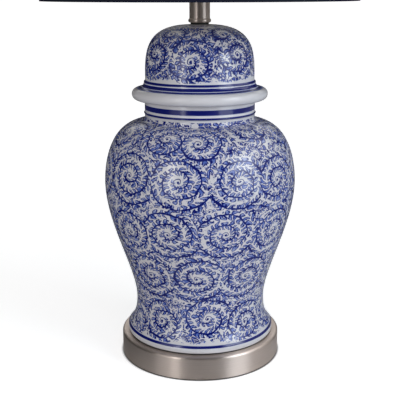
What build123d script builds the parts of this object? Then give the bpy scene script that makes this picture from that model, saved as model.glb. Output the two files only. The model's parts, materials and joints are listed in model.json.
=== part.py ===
from build123d import *
import os

# A ceramic table lamp in millimetres. +Z is up, the origin lies on the table under the middle of
# the lamp, and the front faces -Y. A threaded pipe runs up the middle from the metal foot to the
# lampholder, and clamps the foot, the jar, its lid and the neck together.

# Fits
LOOSE_GAP = 0.2       # around pieces that are pushed together by hand
RUN_GAP = 0.05        # around a pin, a shaft or a thread
GLUE_GAP = 0.05       # between glued layers
PIPE_ROOM = 0.6       # around the pipe where it passes through a hole

# Metal foot
BASE_R = 102.5
BASE_H = 29.5
BASE_SHEET = 1.2
BASE_EDGE_R = 3.0
BASE_RIM_Z = 1.0
FELT_T = 2.0
BOARD_T = 2.5
WEIGHT_T = 10.0

# Cord inlet at the back of the foot
CORD_HOLE_R = 3.75
GROMMET_WALL = 1.5
GROMMET_FLANGE_W = 1.8
GROMMET_FLANGE_T = 2.0
GROMMET_ROOM = 1.0

# Pipe, nuts and washers
PIPE_R = 5.0
PIPE_BORE_R = 3.5
PIPE_STICKOUT = 2.5
NUT_ACROSS = 17.0
NUT_H = 4.0
WASHER_R = 14.0
WASHER_T = 1.5

# Jar, with heights above its own underside
FOOT_GASKET_T = 1.5
FOOT_GASKET_W = 14.0
FOOT_GASKET_INSET = 1.5
JAR_H = 299.0
JAR_WALL = 5.5
JAR_FLOOR_T = 8.0
JAR_FOOT_R = 94.3
JAR_FOOT_H = 7.5
JAR_FOOT_ROUND = 1.5
JAR_WAIST_R = 82.6
JAR_WAIST_Z = 43.5
JAR_BELLY_R = 119.8
JAR_BELLY_Z = 197.7
JAR_SHOULDER_R = 72.0
JAR_SHOULDER_Z = 274.0
COLLAR_R = 68.3
COLLAR_WALL = 7.0
COLLAR_BEAD_Z = 284.0
COLLAR_BEAD_R = 1.1
COLLAR_ROUND = 1.5

# How far each curve of the jar keeps its end direction
FOOT_SWEEP = 2.0
WAIST_SWEEP_DOWN = 27.0
WAIST_SWEEP_UP = 39.4
BELLY_SWEEP_DOWN = 54.6
BELLY_SWEEP_UP = 18.7
SHOULDER_SWEEP = 43.0
SHOULDER_FALL = 3.5

# Lid, with heights above its own underside
LID_GASKET_T = 1.0
LID_GASKET_W = 4.0
LID_H = 90.0
LID_WALL = 5.5
LID_WALL_R = 67.3
LID_WALL_Z = 24.0
LID_STEP = 1.6
LID_RIM_R = 84.0
LID_RIM_ROUND = 7.0
LID_FLANGE_T = 8.0
LID_LIP_W = 5.0
LID_LIP_DROP = 10.0
LID_LIP_ROOM = 1.0
LID_WALL_SWEEP = 31.0
LID_CROWN_SWEEP = 57.5
LID_FLARE_SWEEP = 5.0

# Neck
NECK_WASHER_T = 2.2
NECK_WASHER_INSET = 1.3
NECK_R = 12.5
NECK_WALL = 1.0
NECK_H = 46.0
NECK_BEAD_H = 4.8
NECK_BEAD_W = 1.4
NECK_CAP_T = 2.0
NECK_CAP_LIP = 0.7
NECK_CAP_SPIGOT = 3.0

# Lampholder, from the screw shell outwards, with heights above its foot
CAP_HUB_R = 8.5
CAP_HUB_H = 9.0
CAP_FLARE_H = 5.0
CAP_CUP_H = 10.0
SOCKET_SHEET = 0.7
SHELL_H = 46.0
INSULATOR_T = 0.8
SCREW_SHELL_SHEET = 0.5
SCREW_SHELL_H = 25.0
SCREW_SHELL_FLOOR_R = 7.0
THREAD_ROOM = 0.35
BODY_ROOM = 0.4
BODY_H = 19.0
CONTACT_T = 0.6
CONTACT_W = 5.0
CONTACT_L = 12.0
CONTACT_RISE = 3.0
TERMINAL_R = 2.6
TERMINAL_HEAD_T = 1.6
TERMINAL_SHANK_R = 1.5
TERMINAL_SHANK_L = 5.0
TERMINAL_DROP = 12.0

# Turn switch on the lampholder
SHAFT_R = 1.6
SHAFT_IN_BODY = 8.0
SHAFT_ABOVE_CAP = 5.5
SWITCH_HOLE_ROOM = 1.0
KNOB_GAP = 1.2
KNOB_R = 5.0
KNOB_L = 14.0
KNOB_BORE_L = 9.0
KNOB_FLUTES = 12
KNOB_FLUTE_R = 0.7
KNOB_COLLAR_R = 3.2
KNOB_COLLAR_L = 2.5

# Bulb
BULB_CAP_R = 12.9
BULB_CAP_H = 20.0
BULB_CAP_SHEET = 0.4
BULB_INSULATOR_R = 9.5
BULB_INSULATOR_H = 3.5
BULB_CONTACT_R = 4.5
BULB_CONTACT_H = 1.5
BULB_NECK_H = 18.0
BULB_R = 30.0
BULB_GLASS_H = 84.0
BULB_GLASS_T = 0.9
BULB_NECK_SWEEP = 20.0

# Harp and its saddle
SADDLE_T = 1.5
SADDLE_W = 14.0
SADDLE_ROOM = 8.0
SADDLE_BEND_R = 4.0
SADDLE_SHOULDER_H = 20.0
SADDLE_TIP_H = 12.0
SADDLE_TIP_W = 4.0
HARP_WIRE_R = 1.6
HARP_H = 201.0
HARP_LEG = 40.0
HARP_RISE = 38.0
HARP_ROOM = 22.0
HARP_LOW_BEND_R = 30.0
HARP_TOP_BEND_R = 44.0
HARP_EYE_R = 5.5
HARP_EYE_H = 6.0
FERRULE_L = 13.0
FERRULE_WALL = 0.9
STUD_HEAD_R = 4.2
STUD_HEAD_T = 1.6
STUD_SHANK_R = 2.3
STUD_SEAT_R = 10.0
STUD_SEAT_T = 2.0
STUD_R = 3.15
STUD_L = 15.0

# Shade and finial
SHADE_BOTTOM_R = 190.0
SHADE_TOP_R = 165.0
SHADE_H = 254.0
FABRIC_T = 0.6
LINER_T = 1.0
TRIM_T = 0.5
TRIM_W = 9.0
RING_WIRE_R = 1.6
RING_ROOM = 0.1
SPIDER_ARMS = 3
SPIDER_WIRE_R = 1.5
SPIDER_WELD = 0.3
SPIDER_DROP = 18.0
SPIDER_SLOPE = 26.0
SPIDER_BEND_R = 20.0
HUB_R = 14.0
HUB_T = 2.0
HUB_ROOM = 2.3
FINIAL_SEAT_R = 9.5
FINIAL_SEAT_T = 2.0
FINIAL_STEM_R = 5.0
FINIAL_STEM_H = 5.0
FINIAL_BALL_R = 9.0

# Levels, from the table upwards
board_z = FELT_T
board_top = board_z + BOARD_T
base_underside = BASE_H - BASE_SHEET
weight_z = base_underside - WEIGHT_T
bottom_washer_z = weight_z - WASHER_T
bottom_nut_z = bottom_washer_z - NUT_H
pipe_z = bottom_nut_z - PIPE_STICKOUT
jar_z = BASE_H + FOOT_GASKET_T
jar_top = jar_z + JAR_H
lid_z = jar_top + LID_GASKET_T
lid_top = lid_z + LID_H
neck_z = lid_top + NECK_WASHER_T
neck_top = neck_z + NECK_H
top_nut_z = neck_top + NECK_CAP_T
saddle_z = top_nut_z + NUT_H
holder_z = saddle_z + SADDLE_T
cap_top = holder_z + CAP_HUB_H + CAP_FLARE_H + CAP_CUP_H
shell_z = cap_top - CAP_CUP_H
shell_top = shell_z + SHELL_H
body_z = holder_z + CAP_HUB_H + CAP_FLARE_H
body_top = body_z + BODY_H
screw_shell_top = body_top + SCREW_SHELL_H
contact_top = body_top + SCREW_SHELL_SHEET + CONTACT_RISE
switch_z = cap_top + SHAFT_ABOVE_CAP
bulb_z = contact_top + RUN_GAP
bulb_insulator_z = bulb_z + BULB_CONTACT_H
bulb_cap_z = bulb_insulator_z + BULB_INSULATOR_H
bulb_cap_top = bulb_cap_z + BULB_CAP_H
bulb_top = bulb_cap_top + BULB_GLASS_H
harp_z = holder_z + HARP_H
stud_seat_z = harp_z + HARP_EYE_H / 2 + RUN_GAP
hub_z = stud_seat_z + STUD_SEAT_T
shade_top = hub_z + HUB_T + SPIDER_DROP
shade_z = shade_top - SHADE_H
finial_z = hub_z + HUB_T

# Radii and widths that several pieces share
pipe_hole_r = PIPE_R + PIPE_ROOM
thread_r = PIPE_R + RUN_GAP
base_inner_r = BASE_R - BASE_SHEET
grommet_r = CORD_HOLE_R + GROMMET_WALL
grommet_flange_r = grommet_r + GROMMET_FLANGE_W
grommet_z = board_top + GROMMET_ROOM + grommet_flange_r
grommet_inside = (base_inner_r**2 - grommet_flange_r**2) ** 0.5 - RUN_GAP
weight_r = min(BASE_R - BASE_EDGE_R, grommet_inside - GROMMET_FLANGE_T - GROMMET_ROOM)
collar_inner_r = COLLAR_R - COLLAR_WALL
neck_seat_r = NECK_R - NECK_WASHER_INSET
screw_shell_inner_r = BULB_CAP_R + THREAD_ROOM
screw_shell_r = screw_shell_inner_r + SCREW_SHELL_SHEET
body_r = screw_shell_r + BODY_ROOM
insulator_r = body_r + LOOSE_GAP + INSULATOR_T
shell_r = insulator_r + LOOSE_GAP + SOCKET_SHEET
cap_r = shell_r + LOOSE_GAP + SOCKET_SHEET
saddle_x = cap_r + SADDLE_ROOM + SADDLE_T
leg_x = saddle_x + GLUE_GAP + HARP_WIRE_R
ferrule_x = (saddle_x - SADDLE_T + leg_x + HARP_WIRE_R) / 2
ferrule_half = leg_x + HARP_WIRE_R - ferrule_x
ferrule_bore_r = (ferrule_half**2 + (SADDLE_TIP_W / 2) ** 2) ** 0.5 + LOOSE_GAP
harp_half = BULB_R + HARP_ROOM
hub_hole_r = STUD_R + HUB_ROOM
finial_bore_r = STUD_R + RUN_GAP
shade_lean = (SHADE_BOTTOM_R - SHADE_TOP_R) / SHADE_H


def turned(*edges):
    """A solid turned about Z. The edges close an outline whose x is a radius and y a height."""
    return revolve(Plane.XZ * make_face(edges), axis=Axis.Z)


def ring(inner, outer, bottom, top):
    """A plain ring about Z."""
    return turned(Polyline((inner, bottom), (outer, bottom), (outer, top), (inner, top), close=True))


def disc(radius, bottom, top):
    """A plain disc about Z."""
    return Pos(0, 0, bottom) * Cylinder(
        radius, top - bottom, align=(Align.CENTER, Align.CENTER, Align.MIN)
    )


def rod_along_y(radius, start, end, height):
    """A round rod along Y, from y = start to y = end."""
    middle = Plane((0, start, height), z_dir=(0, 1 if end > start else -1, 0))
    return extrude(middle * Circle(radius), amount=abs(end - start))


def offset_points(edge, distance, count):
    """Points beside a curve, on its left, at the same distance all along."""
    points = []
    for step in range(count):
        share = step / (count - 1)
        along = edge % share
        points.append(edge @ share + Vector(-along.Y, along.X) * distance)
    return points


def base_cover():
    """The spun metal foot: a cup with a rounded edge, upside down."""
    edge_z = BASE_H - BASE_EDGE_R
    edge_x = BASE_R - BASE_EDGE_R
    cup = turned(
        Line((BASE_R, BASE_RIM_Z), (BASE_R, edge_z)),
        RadiusArc((BASE_R, edge_z), (edge_x, BASE_H), -BASE_EDGE_R),
        Polyline(
            (edge_x, BASE_H),
            (pipe_hole_r, BASE_H),
            (pipe_hole_r, base_underside),
            (edge_x, base_underside),
        ),
        RadiusArc((edge_x, base_underside), (base_inner_r, edge_z), BASE_EDGE_R - BASE_SHEET),
        Polyline((base_inner_r, edge_z), (base_inner_r, BASE_RIM_Z), (BASE_R, BASE_RIM_Z)),
    )
    return cup - rod_along_y(grommet_r + RUN_GAP, 0, BASE_R + BASE_SHEET, grommet_z)


def cord_grommet():
    """A rubber bush in the foot's back wall, with a flange on each side of the sheet."""
    outside = BASE_R + RUN_GAP
    outside_end = outside + GROMMET_FLANGE_T
    inside_end = grommet_inside - GROMMET_FLANGE_T
    bush = rod_along_y(grommet_r, grommet_inside, outside, grommet_z)
    bush += rod_along_y(grommet_flange_r, outside, outside_end, grommet_z)
    bush += rod_along_y(grommet_flange_r, inside_end, grommet_inside, grommet_z)
    return bush - rod_along_y(CORD_HOLE_R, inside_end - RUN_GAP, outside_end + RUN_GAP, grommet_z)


def hex_nut(bottom):
    """A nut on the pipe."""
    outline = RegularPolygon(NUT_ACROSS / 2, 6, major_radius=False)
    nut = Pos(0, 0, bottom) * extrude(outline, amount=NUT_H)
    return nut - disc(thread_r, bottom - NUT_H, bottom + 2 * NUT_H)


def jar():
    """The ceramic jar: foot band, waist, belly, shoulder and collar, hollow, with a hole in its floor."""
    round_top = jar_z + JAR_FOOT_ROUND
    foot_top = jar_z + JAR_FOOT_H
    waist_z = jar_z + JAR_WAIST_Z
    belly_z = jar_z + JAR_BELLY_Z
    shoulder_z = jar_z + JAR_SHOULDER_Z
    floor_z = jar_z + JAR_FLOOR_T
    bead_z = jar_z + COLLAR_BEAD_Z
    collar_foot = shoulder_z + (JAR_SHOULDER_R - COLLAR_R)
    waist_inner_r = JAR_WAIST_R - JAR_WALL
    foot_curve = Bezier(
        (JAR_FOOT_R, foot_top),
        (JAR_FOOT_R - 0.6 * FOOT_SWEEP, foot_top + 0.8 * FOOT_SWEEP),
        (JAR_WAIST_R, waist_z - WAIST_SWEEP_DOWN),
        (JAR_WAIST_R, waist_z),
    )
    belly_curve = Bezier(
        (JAR_WAIST_R, waist_z),
        (JAR_WAIST_R, waist_z + WAIST_SWEEP_UP),
        (JAR_BELLY_R, belly_z - BELLY_SWEEP_DOWN),
        (JAR_BELLY_R, belly_z),
    )
    shoulder_curve = Bezier(
        (JAR_BELLY_R, belly_z),
        (JAR_BELLY_R, belly_z + BELLY_SWEEP_UP),
        (JAR_SHOULDER_R + SHOULDER_SWEEP, shoulder_z - SHOULDER_FALL),
        (JAR_SHOULDER_R, shoulder_z),
    )
    inside_points = offset_points(belly_curve, JAR_WALL, 6)
    inside_points += offset_points(shoulder_curve, JAR_WALL, 7)[1:]
    inside = Spline(inside_points)
    inside_top = inside @ 1
    return turned(
        Polyline(
            (pipe_hole_r, floor_z),
            (pipe_hole_r, jar_z),
            (JAR_FOOT_R - JAR_FOOT_ROUND, jar_z),
        ),
        RadiusArc((JAR_FOOT_R - JAR_FOOT_ROUND, jar_z), (JAR_FOOT_R, round_top), -JAR_FOOT_ROUND),
        Line((JAR_FOOT_R, round_top), (JAR_FOOT_R, foot_top)),
        foot_curve,
        belly_curve,
        shoulder_curve,
        Bezier((JAR_SHOULDER_R, shoulder_z), (COLLAR_R, shoulder_z), (COLLAR_R, collar_foot)),
        Line((COLLAR_R, collar_foot), (COLLAR_R, bead_z - COLLAR_BEAD_R)),
        ThreePointArc(
            (COLLAR_R, bead_z - COLLAR_BEAD_R),
            (COLLAR_R + COLLAR_BEAD_R, bead_z),
            (COLLAR_R, bead_z + COLLAR_BEAD_R),
        ),
        Line((COLLAR_R, bead_z + COLLAR_BEAD_R), (COLLAR_R, jar_top - COLLAR_ROUND)),
        RadiusArc((COLLAR_R, jar_top - COLLAR_ROUND), (COLLAR_R - COLLAR_ROUND, jar_top), -COLLAR_ROUND),
        Polyline(
            (COLLAR_R - COLLAR_ROUND, jar_top),
            (collar_inner_r, jar_top),
            (collar_inner_r, inside_top.Y),
            (inside_top.X, inside_top.Y),
        ),
        inside,
        Polyline((waist_inner_r, waist_z), (waist_inner_r, floor_z), (pipe_hole_r, floor_z)),
    )


def lid():
    """The ceramic lid: rolled rim, flare, domed wall, and a lip that drops into the jar's mouth."""
    wall_z = lid_z + LID_WALL_Z
    rim_x = LID_RIM_R - LID_RIM_ROUND
    rim_top = lid_z + 2 * LID_RIM_ROUND
    flare_x = LID_WALL_R + LID_STEP
    flare_top = wall_z - LID_STEP
    lip_r = collar_inner_r - LID_LIP_ROOM
    lip_inner_r = lip_r - LID_LIP_W
    lip_z = lid_z - LID_LIP_DROP
    flange_top = lid_z + LID_FLANGE_T
    dome = Bezier(
        (LID_WALL_R, wall_z),
        (LID_WALL_R, wall_z + LID_WALL_SWEEP),
        (neck_seat_r + LID_CROWN_SWEEP, lid_top),
        (neck_seat_r, lid_top),
    )
    inside = Spline(offset_points(dome, LID_WALL, 9))
    inner_x = LID_WALL_R - LID_WALL
    return turned(
        Polyline((neck_seat_r, lid_top), (pipe_hole_r, lid_top), (pipe_hole_r, lid_top - LID_WALL)),
        Line((pipe_hole_r, lid_top - LID_WALL), (neck_seat_r, lid_top - LID_WALL)),
        inside,
        Polyline(
            (inner_x, wall_z),
            (inner_x, flange_top),
            (lip_inner_r, flange_top),
            (lip_inner_r, lip_z),
            (lip_r, lip_z),
            (lip_r, lid_z),
            (rim_x, lid_z),
        ),
        RadiusArc((rim_x, lid_z), (LID_RIM_R, lid_z + LID_RIM_ROUND), -LID_RIM_ROUND),
        RadiusArc((LID_RIM_R, lid_z + LID_RIM_ROUND), (rim_x, rim_top), -LID_RIM_ROUND),
        Bezier(
            (rim_x, rim_top),
            (rim_x - LID_FLARE_SWEEP, rim_top),
            (flare_x, flare_top - LID_FLARE_SWEEP),
            (flare_x, flare_top),
        ),
        Line((flare_x, flare_top), (LID_WALL_R, wall_z)),
        dome,
    )


def neck_tube():
    """The neck: a metal cup with a bead round its foot."""
    middle = neck_z + NECK_BEAD_H / 2
    return turned(
        Line((pipe_hole_r, neck_z), (NECK_R, neck_z)),
        ThreePointArc((NECK_R, neck_z), (NECK_R + NECK_BEAD_W, middle), (NECK_R, neck_z + NECK_BEAD_H)),
        Polyline(
            (NECK_R, neck_z + NECK_BEAD_H),
            (NECK_R, neck_top),
            (NECK_R - NECK_WALL, neck_top),
            (NECK_R - NECK_WALL, neck_z + NECK_WALL),
            (pipe_hole_r, neck_z + NECK_WALL),
            (pipe_hole_r, neck_z),
        ),
    )


def neck_cap():
    """The turned cap on the neck, with a spigot inside the tube."""
    spigot_r = NECK_R - NECK_WALL - RUN_GAP
    cap = disc(NECK_R + NECK_CAP_LIP, neck_top, top_nut_z)
    cap += disc(spigot_r, neck_top - NECK_CAP_SPIGOT, neck_top)
    return cap - disc(thread_r, neck_z, top_nut_z + NECK_CAP_T)


def harp_saddle():
    """A bent steel strip under the lampholder, with an upright arm and a narrow tip on each side."""
    arm_top = saddle_z + SADDLE_SHOULDER_H + SADDLE_TIP_H
    shoulder_z = saddle_z + SADDLE_SHOULDER_H
    inner_x = saddle_x - SADDLE_T
    outer_bend = SADDLE_BEND_R + SADDLE_T
    bends = [outer_bend, outer_bend, 0, 0, SADDLE_BEND_R, SADDLE_BEND_R, 0, 0]
    outline = FilletPolyline(
        (-saddle_x, saddle_z),
        (saddle_x, saddle_z),
        (saddle_x, arm_top),
        (inner_x, arm_top),
        (inner_x, holder_z),
        (-inner_x, holder_z),
        (-inner_x, arm_top),
        (-saddle_x, arm_top),
        radius=bends,
        close=True,
    )
    strip = extrude(Plane.XZ * make_face(outline), amount=SADDLE_W / 2, both=True)
    side_w = (SADDLE_W - SADDLE_TIP_W) / 2
    for side in (-1, 1):
        beside_tip = Pos(0, side * (SADDLE_TIP_W + side_w) / 2, (shoulder_z + arm_top) / 2)
        strip -= beside_tip * Box(2 * saddle_x, side_w, SADDLE_TIP_H)
    return strip - disc(thread_r, saddle_z - SADDLE_T, holder_z + SADDLE_T)


def harp():
    """The wire bow: two straight legs, a widening, a round top and an eye for the stud."""
    leg_z = saddle_z + SADDLE_SHOULDER_H
    leg_top = leg_z + HARP_LEG
    wide_z = leg_top + HARP_RISE
    path = FilletPolyline(
        (-leg_x, 0, leg_z),
        (-leg_x, 0, leg_top),
        (-harp_half, 0, wide_z),
        (-harp_half, 0, harp_z),
        (harp_half, 0, harp_z),
        (harp_half, 0, wide_z),
        (leg_x, 0, leg_top),
        (leg_x, 0, leg_z),
        radius=[HARP_LOW_BEND_R] * 2 + [HARP_TOP_BEND_R] * 2 + [HARP_LOW_BEND_R] * 2,
    )
    wire = sweep(Plane(path @ 0, z_dir=path % 0) * Circle(HARP_WIRE_R), path=path)
    wire += disc(HARP_EYE_R, harp_z - HARP_EYE_H / 2, harp_z + HARP_EYE_H / 2)
    return wire - disc(STUD_SHANK_R + RUN_GAP, harp_z - HARP_EYE_H, harp_z + HARP_EYE_H)


def ferrule(side):
    """A sleeve that holds a leg of the harp against its saddle tip."""
    sleeve_z = saddle_z + SADDLE_SHOULDER_H
    sleeve = ring(ferrule_bore_r, ferrule_bore_r + FERRULE_WALL, sleeve_z, sleeve_z + FERRULE_L)
    return Pos(side * ferrule_x, 0, 0) * sleeve


def harp_stud():
    """The swivelling stud: a riveted head, a shank in the harp's eye, a seat and a screw end."""
    eye_bottom = harp_z - HARP_EYE_H / 2 - RUN_GAP
    stud = disc(STUD_HEAD_R, eye_bottom - STUD_HEAD_T, eye_bottom)
    stud += disc(STUD_SHANK_R, eye_bottom, stud_seat_z)
    stud += disc(STUD_SEAT_R, stud_seat_z, hub_z)
    return stud + disc(STUD_R, hub_z, hub_z + STUD_L)


def socket_cap():
    """The lampholder's cap: a threaded hub that flares into a cup round the shell."""
    hub_top = holder_z + CAP_HUB_H
    cup_z = hub_top + CAP_FLARE_H
    inner_r = cap_r - SOCKET_SHEET
    cup = turned(
        Polyline(
            (thread_r, holder_z),
            (CAP_HUB_R, holder_z),
            (CAP_HUB_R, hub_top),
            (cap_r, cup_z),
            (cap_r, cap_top),
            (inner_r, cap_top),
            (inner_r, cup_z),
            (CAP_HUB_R - SOCKET_SHEET, hub_top + SOCKET_SHEET),
            (thread_r, hub_top + SOCKET_SHEET),
            close=True,
        )
    )
    return cup


def socket_shell():
    """The outer shell, pushed into the cap, with a clear hole for the switch."""
    shell = ring(shell_r - SOCKET_SHEET, shell_r, shell_z, shell_top)
    return shell - rod_along_y(SHAFT_R + SWITCH_HOLE_ROOM, 0, -2 * shell_r, switch_z)


def socket_insulator():
    """The fibre sleeve inside the shell."""
    sleeve = ring(insulator_r - INSULATOR_T, insulator_r, shell_z, shell_top)
    return sleeve - rod_along_y(SHAFT_R + SWITCH_HOLE_ROOM, 0, -2 * shell_r, switch_z)


def socket_body():
    """The moulded switch body, with pockets for the terminal screws and a bore for the shaft."""
    body = disc(body_r, body_z, body_top)
    head_r = TERMINAL_R + LOOSE_GAP
    pocket_x = body_r - TERMINAL_HEAD_T - LOOSE_GAP
    terminal_z = body_top - TERMINAL_DROP
    for side in (-1, 1):
        facing = Plane((side * pocket_x, 0, terminal_z), z_dir=(side, 0, 0))
        body -= extrude(facing * Circle(head_r), amount=body_r)
        body -= extrude(facing * Circle(TERMINAL_SHANK_R + RUN_GAP), amount=-TERMINAL_SHANK_L)
    return body - rod_along_y(SHAFT_R + RUN_GAP, -body_r + SHAFT_IN_BODY, -2 * body_r, switch_z)


def terminal_screws():
    """Two screws in the switch body, one for each wire."""
    pocket_x = body_r - TERMINAL_HEAD_T - LOOSE_GAP
    terminal_z = body_top - TERMINAL_DROP
    screws = []
    for side in (-1, 1):
        facing = Plane((side * pocket_x, 0, terminal_z), z_dir=(side, 0, 0))
        head = extrude(facing * Circle(TERMINAL_R), amount=TERMINAL_HEAD_T)
        screws.append(head + extrude(facing * Circle(TERMINAL_SHANK_R), amount=-TERMINAL_SHANK_L))
    return Compound(children=screws)


def screw_shell():
    """The threaded shell that takes the bulb, with a turned-in floor on the switch body."""
    cup = ring(screw_shell_inner_r, screw_shell_r, body_top, screw_shell_top)
    return cup + ring(SCREW_SHELL_FLOOR_R, screw_shell_r, body_top, body_top + SCREW_SHELL_SHEET)


def centre_contact():
    """A brass leaf inside the screw shell's floor, bent up to meet the bulb."""
    half = CONTACT_L / 2
    top = contact_top
    leaf = Polyline(
        (-half, body_top),
        (0, body_top),
        (half, top - CONTACT_T),
        (half, top),
        (0, body_top + CONTACT_T),
        (-half, body_top + CONTACT_T),
        close=True,
    )
    return extrude(Plane.XZ * make_face(leaf), amount=CONTACT_W / 2, both=True)


def switch_shaft():
    """The shaft of the turn switch, out of the body's front to the knob."""
    tip = -shell_r - KNOB_GAP - KNOB_BORE_L
    return rod_along_y(SHAFT_R, -body_r + SHAFT_IN_BODY - RUN_GAP, tip, switch_z)


def switch_knob():
    """A fluted knob with a narrow collar, on the end of the shaft."""
    start = -shell_r - KNOB_GAP
    fluted = Circle(KNOB_R)
    for place in PolarLocations(KNOB_R, KNOB_FLUTES):
        fluted -= place * Circle(KNOB_FLUTE_R)
    facing = Plane((0, start - KNOB_COLLAR_L, switch_z), z_dir=(0, -1, 0))
    knob = extrude(facing * fluted, amount=KNOB_L - KNOB_COLLAR_L)
    knob += rod_along_y(KNOB_COLLAR_R, start, start - KNOB_COLLAR_L, switch_z)
    return knob - rod_along_y(SHAFT_R + RUN_GAP, 0, start - KNOB_BORE_L - RUN_GAP, switch_z)


def bulb_insulator():
    """The black cone between the bulb's cap and its contact."""
    return turned(
        Polyline(
            (0, bulb_insulator_z),
            (BULB_CONTACT_R, bulb_insulator_z),
            (BULB_INSULATOR_R, bulb_cap_z),
            (0, bulb_cap_z),
            close=True,
        )
    )


def bulb_cap():
    """The bulb's metal cap: a thin cup that closes on the insulator."""
    cup = ring(BULB_CAP_R - BULB_CAP_SHEET, BULB_CAP_R, bulb_cap_z, bulb_cap_top)
    return cup + disc(BULB_CAP_R, bulb_cap_z, bulb_cap_z + BULB_CAP_SHEET)


def bulb_glass():
    """The opal glass: a neck in the cap, a flare and a round head, hollow and open at the neck."""
    neck_r = BULB_CAP_R - BULB_CAP_SHEET - RUN_GAP
    neck_inner_r = neck_r - BULB_GLASS_T
    neck_foot = bulb_cap_top - BULB_NECK_H
    equator = bulb_top - BULB_R
    flare = Bezier(
        (neck_r, bulb_cap_top),
        (neck_r, bulb_cap_top + BULB_NECK_SWEEP),
        (BULB_R, equator - BULB_NECK_SWEEP),
        (BULB_R, equator),
    )
    inside = Spline(offset_points(flare, BULB_GLASS_T, 7))
    inner_r = BULB_R - BULB_GLASS_T
    return turned(
        Line((neck_r, neck_foot), (neck_r, bulb_cap_top)),
        flare,
        RadiusArc((BULB_R, equator), (0, bulb_top), -BULB_R),
        Line((0, bulb_top), (0, bulb_top - BULB_GLASS_T)),
        RadiusArc((0, bulb_top - BULB_GLASS_T), (inner_r, equator), inner_r),
        inside,
        Polyline((neck_inner_r, bulb_cap_top), (neck_inner_r, neck_foot), (neck_r, neck_foot)),
    )


def shade_radius(height):
    """The shade's outer radius at a height."""
    return SHADE_BOTTOM_R - shade_lean * (height - shade_z)


def shade_band(inset, thickness, bottom, top):
    """A thin layer of the shade: its outer face lies inset from the shade's outer face."""
    low = shade_radius(bottom) - inset
    high = shade_radius(top) - inset
    return turned(
        Polyline((low, bottom), (low - thickness, bottom), (high - thickness, top), (high, top), close=True)
    )


# Depths of the shade's layers, from its outer face inwards
fabric_in = TRIM_T + GLUE_GAP
liner_in = fabric_in + FABRIC_T + GLUE_GAP
trim_back_in = liner_in + LINER_T + GLUE_GAP
ring_in = trim_back_in + TRIM_T + RING_ROOM + RING_WIRE_R * (1 + shade_lean**2) ** 0.5
fabric_z = shade_z + TRIM_T + GLUE_GAP
fabric_top = shade_top - TRIM_T - GLUE_GAP
low_ring_z = fabric_z + RING_WIRE_R
top_ring_z = fabric_top - RING_WIRE_R


def shade_trim(edge, inward):
    """A tape folded over an edge of the shade. inward is +1 at the bottom edge and -1 at the top edge."""
    end = edge + inward * TRIM_W
    fold = edge + inward * TRIM_T
    tape = shade_band(0, TRIM_T, min(edge, end), max(edge, end))
    tape += shade_band(trim_back_in, TRIM_T, min(edge, end), max(edge, end))
    return tape + shade_band(0, trim_back_in + TRIM_T, min(edge, fold), max(edge, fold))


def wire_ring(height):
    """A round wire ring inside the shade."""
    radius = shade_radius(height) - ring_in
    return Pos(0, 0, height) * Torus(radius, RING_WIRE_R)


def spider_arm(number):
    """One arm of the shade's carrier: a wire from the top of the hub, bent up to the shade's top ring."""
    arm_z = hub_z + HUB_T + SPIDER_WIRE_R - SPIDER_WELD
    ring_r = shade_radius(top_ring_z) - ring_in
    path = FilletPolyline(
        ((FINIAL_SEAT_R + HUB_R) / 2, 0, arm_z),
        (ring_r - SPIDER_SLOPE, 0, arm_z),
        (ring_r, 0, top_ring_z),
        radius=SPIDER_BEND_R,
    )
    wire = sweep(Plane(path @ 0, z_dir=path % 0) * Circle(SPIDER_WIRE_R), path=path)
    wire -= disc(HUB_R, hub_z, hub_z + HUB_T)
    wire -= wire_ring(top_ring_z)
    return Rot(0, 0, 90 + number * 360 / SPIDER_ARMS) * wire


def finial():
    """The turned finial: a seat on the hub, a stem and a ball, with a blind bore for the stud."""
    seat_top = finial_z + FINIAL_SEAT_T
    stem_top = seat_top + FINIAL_STEM_H
    ball_z = stem_top + (FINIAL_BALL_R**2 - FINIAL_STEM_R**2) ** 0.5
    bore_top = hub_z + STUD_L + RUN_GAP
    return turned(
        Polyline(
            (0, bore_top),
            (finial_bore_r, bore_top),
            (finial_bore_r, finial_z),
            (FINIAL_SEAT_R, finial_z),
            (FINIAL_SEAT_R, seat_top),
        ),
        Bezier((FINIAL_SEAT_R, seat_top), (FINIAL_STEM_R, seat_top), (FINIAL_STEM_R, stem_top)),
        ThreePointArc(
            (FINIAL_STEM_R, stem_top), (FINIAL_BALL_R, ball_z), (0, ball_z + FINIAL_BALL_R)
        ),
        Line((0, ball_z + FINIAL_BALL_R), (0, bore_top)),
    )


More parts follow.
